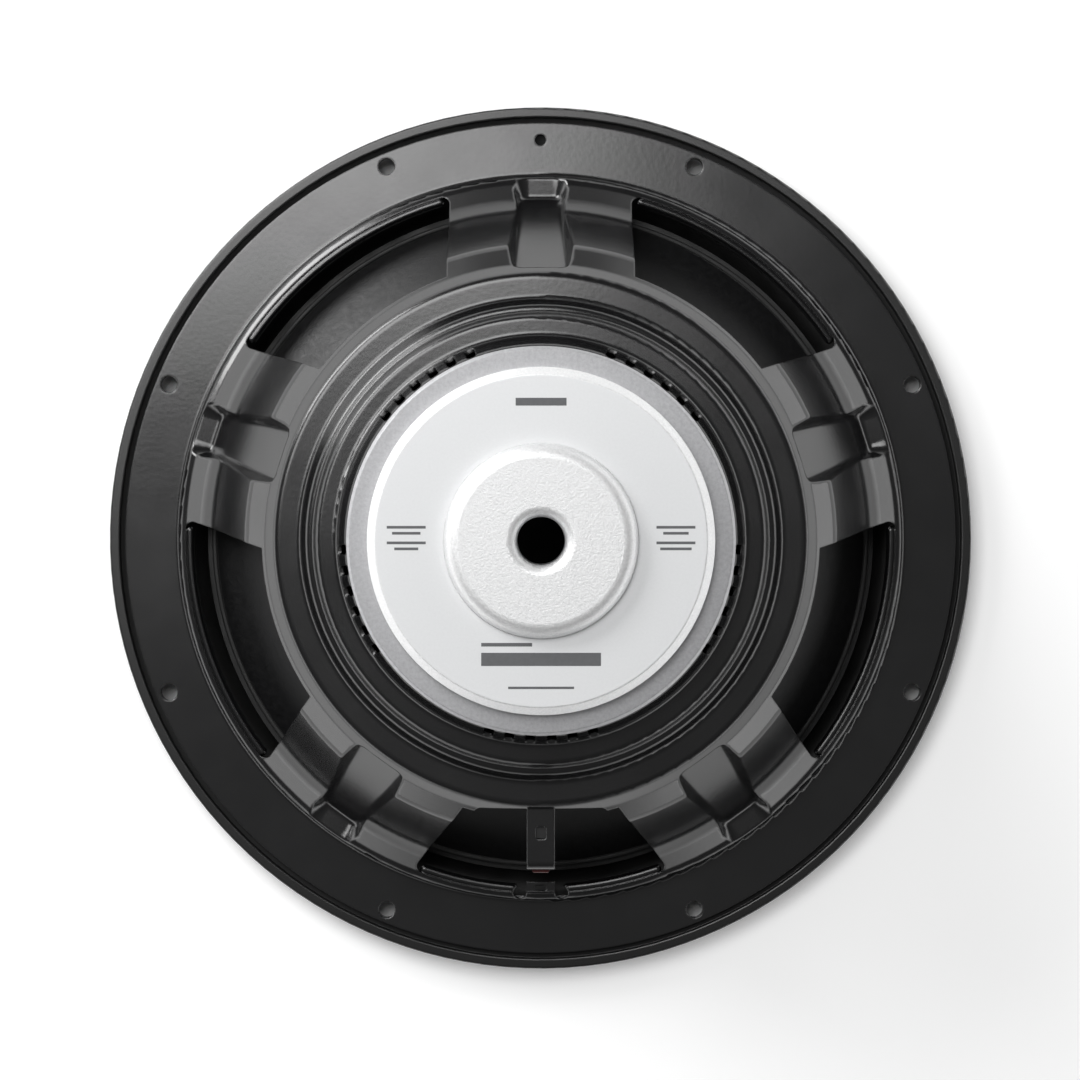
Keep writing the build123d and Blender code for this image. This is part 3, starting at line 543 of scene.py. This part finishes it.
def make_winding(copper):
    """The coil as one layer of round wire, as tall as its place on the tube."""
    low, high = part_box("voice_coil")
    values = {
        "Turns": int((high.z - low.z) / WIRE),
        "Radius": high.x - WIRE,
        "Wire": WIRE,
        "Start Height": low.z + WIRE / 2,
        "Copper": copper,
    }
    piece = grown("coil_winding", winding_tree(), values)
    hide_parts("voice_coil")
    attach(piece, "moving_cone")


# ---- tinsel leads ----
LEAD_RADIUS = 0.9 * MM
LEAD_SIDES = 20
LUG_SIDE = 1.2 * MM
LUG_INSET = 1.2 * MM  # lead's start in from the end of its lug
LUG_DROP = 0.95 * MM
EYELET = Vector((6.6, -46.4, 57.15)) * MM
CORNERS = [(0.9, 0.2), (2.2, 0.45), (3.6, 0.72)]  # mm sideways, and share of the way in
LEAD_IN = 1.0 * MM  # first corner over the middle of its drop
DIP = 2.5 * MM  # lowest corner under both ends


def smooth_route(name, points):
    """Points along the NURBS line that has `points` as its control points."""
    curve = bpy.data.curves.new(name, "CURVE")
    curve.dimensions = "3D"
    spline = curve.splines.new("NURBS")
    spline.points.add(len(points) - 1)
    for target, point in zip(spline.points, points):
        target.co = (*point, 1.0)
    spline.order_u = 3
    spline.use_endpoint_u = True
    spline.resolution_u = 12
    holder = add_object(name, curve)
    line = bpy.data.meshes.new_from_object(holder.evaluated_get(bpy.context.evaluated_depsgraph_get()))
    places = [vertex.co.copy() for vertex in line.vertices]
    bpy.data.objects.remove(holder)
    return places


def tube(name, path, radius, sides, finish):
    """Closed tube along a path, with a UV map that runs along it in metres and once round it."""
    work = bmesh.new()
    uv = work.loops.layers.uv.new("lead")
    side_way = (path[1] - path[0]).orthogonal().normalized()
    rings, lengths, travelled = [], [], 0.0
    for i, spot in enumerate(path):
        ahead = (path[min(i + 1, len(path) - 1)] - path[max(i - 1, 0)]).normalized()
        side_way = (side_way - ahead * side_way.dot(ahead)).normalized()
        other = ahead.cross(side_way)
        if i:
            travelled += (spot - path[i - 1]).length
        lengths.append(travelled)
        ring = []
        for k in range(sides):
            turn = 2 * math.pi * k / sides
            reach = (side_way * math.cos(turn) + other * math.sin(turn)) * radius
            ring.append(work.verts.new(spot + reach))
        rings.append(ring)
    for i in range(len(path) - 1):
        for k in range(sides):
            after = (k + 1) % sides
            face = work.faces.new((rings[i][k], rings[i][after], rings[i + 1][after], rings[i + 1][k]))
            face.smooth = True
            marks = ((i, k), (i, k + 1), (i + 1, k + 1), (i + 1, k))
            for loop, (step, turn) in zip(face.loops, marks):
                loop[uv].uv = (lengths[step], turn / sides)
    work.faces.new(rings[0][::-1])
    work.faces.new(rings[-1])
    bmesh.ops.recalc_face_normals(work, faces=work.faces)
    mesh = bpy.data.meshes.new(name)
    work.to_mesh(mesh)
    work.free()
    mesh.materials.append(finish)
    return add_object(name, mesh), travelled


def lead_points(side, lug):
    """The lead's route, from under its lug to the eyelet on its own side."""
    low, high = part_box(lug)
    start = Vector((side * LUG_SIDE, high.y - LUG_INSET, low.z - LUG_DROP))
    end = Vector((side * EYELET.x, EYELET.y, EYELET.z))
    dip = min(start.z, end.z) - DIP
    levels = [(start.z + dip) / 2 + LEAD_IN, dip, (end.z + dip) / 2]
    points = [start]
    for (sideways, share), level in zip(CORNERS, levels):
        points.append(Vector((start.x + side * sideways * MM, start.y + (end.y - start.y) * share, level)))
    return points + [end]


def make_leads(tinsel):
    """Two braided leads, from under the contacts' lugs to the eyelets."""
    for side, sign in ((1, "positive"), (-1, "negative")):
        path = smooth_route("lead_route", lead_points(side, "contact_" + sign))
        lead, length = tube("braided_lead_" + sign, path, LEAD_RADIUS, LEAD_SIDES, tinsel)
        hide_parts("tinsel_lead_" + sign)
        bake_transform(lead)


def make_leaves(brass):
    """Each contact's leaf and lug as a mesh of its own, with doubled points merged."""
    for sign in ("positive", "negative"):
        name = "contact_" + sign
        work = bmesh.new()
        work.from_mesh(nodes[name].data)
        bmesh.ops.remove_doubles(work, verts=work.verts, dist=WELD)
        bmesh.ops.recalc_face_normals(work, faces=work.faces)
        mesh = bpy.data.meshes.new("leaf_" + sign)
        work.to_mesh(mesh)
        work.free()
        mesh.materials.append(brass)
        leaf = add_object("leaf_" + sign, mesh)
        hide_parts(name)
        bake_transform(leaf)


# ---- label ----
BARS = [  # centre x, centre y, width, height in mm: plain bars where a rating label has its lines
    (0.0, 46.5, 17.0, 2.6),
    (-45.0, 4.6, 13.0, 0.9),
    (-45.0, 2.6, 9.5, 0.9),
    (-45.0, -0.6, 13.0, 0.9),
    (-45.0, -2.6, 8.0, 0.9),
    (45.0, 4.6, 13.0, 0.9),
    (45.0, 2.6, 8.5, 0.9),
    (45.0, -0.6, 13.0, 0.9),
    (45.0, -2.6, 10.5, 0.9),
    (0.0, -39.5, 40.0, 4.4),
    (-11.5, -34.6, 17.0, 1.2),
    (0.0, -49.0, 22.0, 0.8),
]
INK = 0.03 * MM


def make_marks(ink):
    """Raised ink of the label's bars."""
    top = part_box("rating_label")[1].z
    work = bmesh.new()
    for x, y, width, height in BARS:
        centre = Vector((x * MM, y * MM, top + INK / 2))
        size = Matrix.Diagonal((width * MM, height * MM, INK, 1.0))
        bmesh.ops.create_cube(work, size=1.0, matrix=Matrix.Translation(centre) @ size)
    mesh = bpy.data.meshes.new("label_bars")
    work.to_mesh(mesh)
    work.free()
    mesh.materials.append(ink)
    piece = add_object("label_bars", mesh)
    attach(piece, "frame")


# ---- glue ----
NECK_WIDTH = 2.0 * MM
NECK_RISE = 1.6 * MM
NECK_SKIRT = 0.9 * MM  # how far the bead's foot runs down the cone
NECK_HEEL = 0.2 * MM
NECK_HOLLOW = 0.8  # the hollow face's share of the bead's width
NECK_STEPS = 6
NECK_WOBBLE = 0.05 * MM
GLUE_BITE = 0.1 * MM  # overlap that leaves no gap under the glue
CONE_WALL = 1.4 * MM
CEMENT_WIDTH = 1.9 * MM
CEMENT_SWELL = 0.35 * MM
CEMENT_STEPS = 8
CEMENT_WOBBLE = 0.04 * MM
CEMENT_FIT = 0.02 * MM
NECK_SEGMENTS = 144
CEMENT_SEGMENTS = 240


def make_neck_bead(glue):
    """Hollow fillet of glue where the cone meets the collar on the coil's tube."""
    low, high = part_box("coil_collar")
    inner, neck = high.x - GLUE_BITE, low.z
    profile = [(inner, neck + NECK_RISE)]
    for step in range(NECK_STEPS + 1):
        turn = math.pi / 2 * step / NECK_STEPS
        reach = NECK_WIDTH * NECK_HOLLOW * (1 - math.cos(turn)) + GLUE_BITE
        profile.append((high.x + reach, neck + NECK_RISE * (1 - math.sin(turn))))
    profile += [(high.x + NECK_WIDTH, neck - NECK_SKIRT), (inner, neck - NECK_HEEL)]
    bead = lathe("neck_glue", profile, NECK_SEGMENTS, glue, wobble=NECK_WOBBLE)
    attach(bead, "moving_cone")


def make_edge_cement(cement):
    """Cement spread over the cone's flat edge, where the surround's lip is stuck on."""
    low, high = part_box("cone")
    outer = high.x - GLUE_BITE
    base = low.z + CONE_WALL + CEMENT_FIT
    profile = [(outer, base), (outer - CEMENT_WIDTH, base)]
    for step in range(1, CEMENT_STEPS):
        share = step / CEMENT_STEPS
        swell = math.sin(math.pi * share) ** 0.5
        profile.append((outer - CEMENT_WIDTH * (1 - share), base + CEMENT_SWELL * swell))
    spread = lathe("edge_cement", profile, CEMENT_SEGMENTS, cement, wobble=CEMENT_WOBBLE)
    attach(spread, "moving_cone")


# ---- room ----
FLOOR_HALF = 14.0
PAINTED_GLOW_START = (0.150, 0.165)  # the painted glow sets in between these distances, so none shows through a hole
PAINTED_GLOW_REACH = (0.8, 5.0)  # and grows from near to far between these
PAINTED_GLOW_NEAR = 0.3
PAINTED_GLOW_FAR = 0.75
HIGH_SOFTBOX = {"place": (-0.52, 0.76, 2.0), "aim": (-0.52, 0.76, 0), "size": (1.15, 1.15), "power": 23.0}
LOW_SOFTBOX = {"place": (-1.3, 1.2, 1.05), "aim": (0, 0, 0.05), "size": (1.1, 0.7), "power": 26.0}
SKY_HIGH = 0.2
SKY_MIDDLE = 0.1
SKY_LOW = 3.3
SKY_SHADE = 0.12  # what is left of the low band towards +Y and -Y
DOME_FADE = (0.5, 0.95)  # this and the next two are shares of a unit direction
BAND_FADE = (0.42, 0.0)
SIDE_FADE = (0.2, 0.6)


def make_room():
    """White paper floor with painted light: it glows a little, more so far away, but not under the driver.
    """
    mesh = bpy.data.meshes.new("floor")
    signs = ((-1, -1), (1, -1), (1, 1), (-1, 1))
    mesh.from_pydata([(x * FLOOR_HALF, y * FLOOR_HALF, 0) for x, y in signs], [], [(0, 1, 2, 3)])
    made, tree, shader = material("white_paper_painted_glow", "#f4f4f4", roughness=0.9, Specular_IOR_Level=0.1)
    coords = add(tree, "ShaderNodeTexCoord")
    far = add(tree, "ShaderNodeVectorMath", {0: coords.outputs["Object"]}, operation="LENGTH")
    away = {"Value": far.outputs["Value"]}
    edge = dict(zip(("From Min", "From Max"), PAINTED_GLOW_START))
    reach = dict(zip(("From Min", "From Max", "To Min", "To Max"), (*PAINTED_GLOW_REACH, PAINTED_GLOW_NEAR, PAINTED_GLOW_FAR)))
    clear = add(tree, "ShaderNodeMapRange", {**away, **edge})
    glow = add(tree, "ShaderNodeMapRange", {**away, **reach})
    shown = add(tree, "ShaderNodeMath", {0: glow, 1: clear}, operation="MULTIPLY")
    # painted light: the floor emits a glow, though it is no lamp, which lifts the shadows around the driver
    tree.links.new(shown.outputs[0], shader.inputs["Emission Strength"])
    shader.inputs["Emission Color"].default_value = linear("#ffffff")
    mesh.materials.append(made)
    add_object("floor", mesh)


def softbox(name, place, aim, size, power):
    """Rectangular area light, its power in watts."""
    data = bpy.data.lights.new(name, "AREA")
    data.shape = "RECTANGLE"
    data.size, data.size_y = size
    data.energy = power
    light = bpy.data.objects.new(name, data)
    light.location = place
    light.rotation_mode = "QUATERNION"
    light.rotation_quaternion = (Vector(aim) - Vector(place)).to_track_quat("-Z", "Y")
    bpy.context.collection.objects.link(light)


def make_sky():
    """Pale tent, dim overhead, with a bright low band towards -X and +X."""
    world = bpy.data.worlds.new("studio")
    bpy.context.scene.world = world
    world.use_nodes = True
    tree = world.node_tree
    coords = add(tree, "ShaderNodeTexCoord")
    way = add(tree, "ShaderNodeSeparateXYZ", {"Vector": coords.outputs["Generated"]})
    across = add(tree, "ShaderNodeMath", {0: way.outputs["X"]}, operation="ABSOLUTE")
    fades = []
    steep = way.outputs["Z"]
    for value, ends in ((steep, DOME_FADE), (steep, BAND_FADE), (across, SIDE_FADE)):
        fade = {"Value": value, "From Min": ends[0], "From Max": ends[1]}
        fades.append(add(tree, "ShaderNodeMapRange", fade))
    dome, low, side = fades
    lit = {0: side, 1: 1 - SKY_SHADE, 2: SKY_SHADE}
    shade = add(tree, "ShaderNodeMath", lit, operation="MULTIPLY_ADD")
    band = add(tree, "ShaderNodeMath", {0: low, 1: shade}, operation="MULTIPLY")
    lift = {0: dome, 1: SKY_HIGH - SKY_MIDDLE, 2: SKY_MIDDLE}
    overhead = add(tree, "ShaderNodeMath", lift, operation="MULTIPLY_ADD")
    total = {0: band, 1: SKY_LOW, 2: overhead}
    strength = add(tree, "ShaderNodeMath", total, operation="MULTIPLY_ADD")
    background = tree.nodes["Background"]
    tree.links.new(strength.outputs[0], background.inputs["Strength"])
    background.inputs["Color"].default_value = linear("#ffffff")


make_camera()

enamel = stove_enamel()
zinc = plated_forging()
brass = metal("tinned_brass", ("#c2b48e", "#d8ccaa"), roughness=0.3)
copper = metal("enamelled_copper", ("#8e4520", "#b4602f"), roughness=0.28, grain_mm=1.5)
rubber = butyl_rubber()
finish_cad("basket", enamel)
finish_cad("trim_ring", moulded_trim())
finish_cad("yoke", zinc)
finish_cad("top_plate", zinc)
finish_cad("plate_stakes", zinc)
finish_cad("magnet", ground_ferrite())
finish_cad("rating_label", label_foil())
finish_cad("cone", pulp("pressed_black_pulp", ("#070708", "#121213"), shine=0.42))
finish_cad("dust_cap", pulp("dust_cap_pulp", ("#0c0c0c", "#1c1c1c"), shine=0.5))
finish_cad("coil_former", metal("rolled_aluminium_foil", ("#c3c5c8", "#dcdddf"), roughness=0.3))
finish_cad("coil_collar", pulp("kraft_paper_wrap", ("#3a2c1f", "#5a4632"), shine=0.7))
finish_cad("lead_eyelets", brass)
finish_cad("cone_lead_wires", copper)
finish_cad("terminal_block", moulded("glass_filled_nylon", ("#0d0d0e", "#121213"), roughness=0.45))
finish_cad("push_button_positive", moulded("moulded_red_abs", ("#3d0806", "#4a0b08"), roughness=0.3))
finish_cad("push_button_negative", moulded("moulded_black_abs", ("#0e0e0e", "#141414"), roughness=0.3))

make_surround(rubber)
make_spider(spider_cloth())
make_winding(copper)
make_leads(tinsel_braid())
make_leaves(brass)
make_marks(printed_ink())
make_neck_bead(moulded("cured_clear_cement", ("#0d0d0d", "#151515"), roughness=0.25, grain_mm=1.0))
make_edge_cement(rubber)
make_room()
softbox("high_softbox", **HIGH_SOFTBOX)
softbox("low_softbox", **LOW_SOFTBOX)
make_sky()
bpy.context.scene.view_settings.view_transform = "Standard"
bpy.context.scene.view_settings.look = "None"
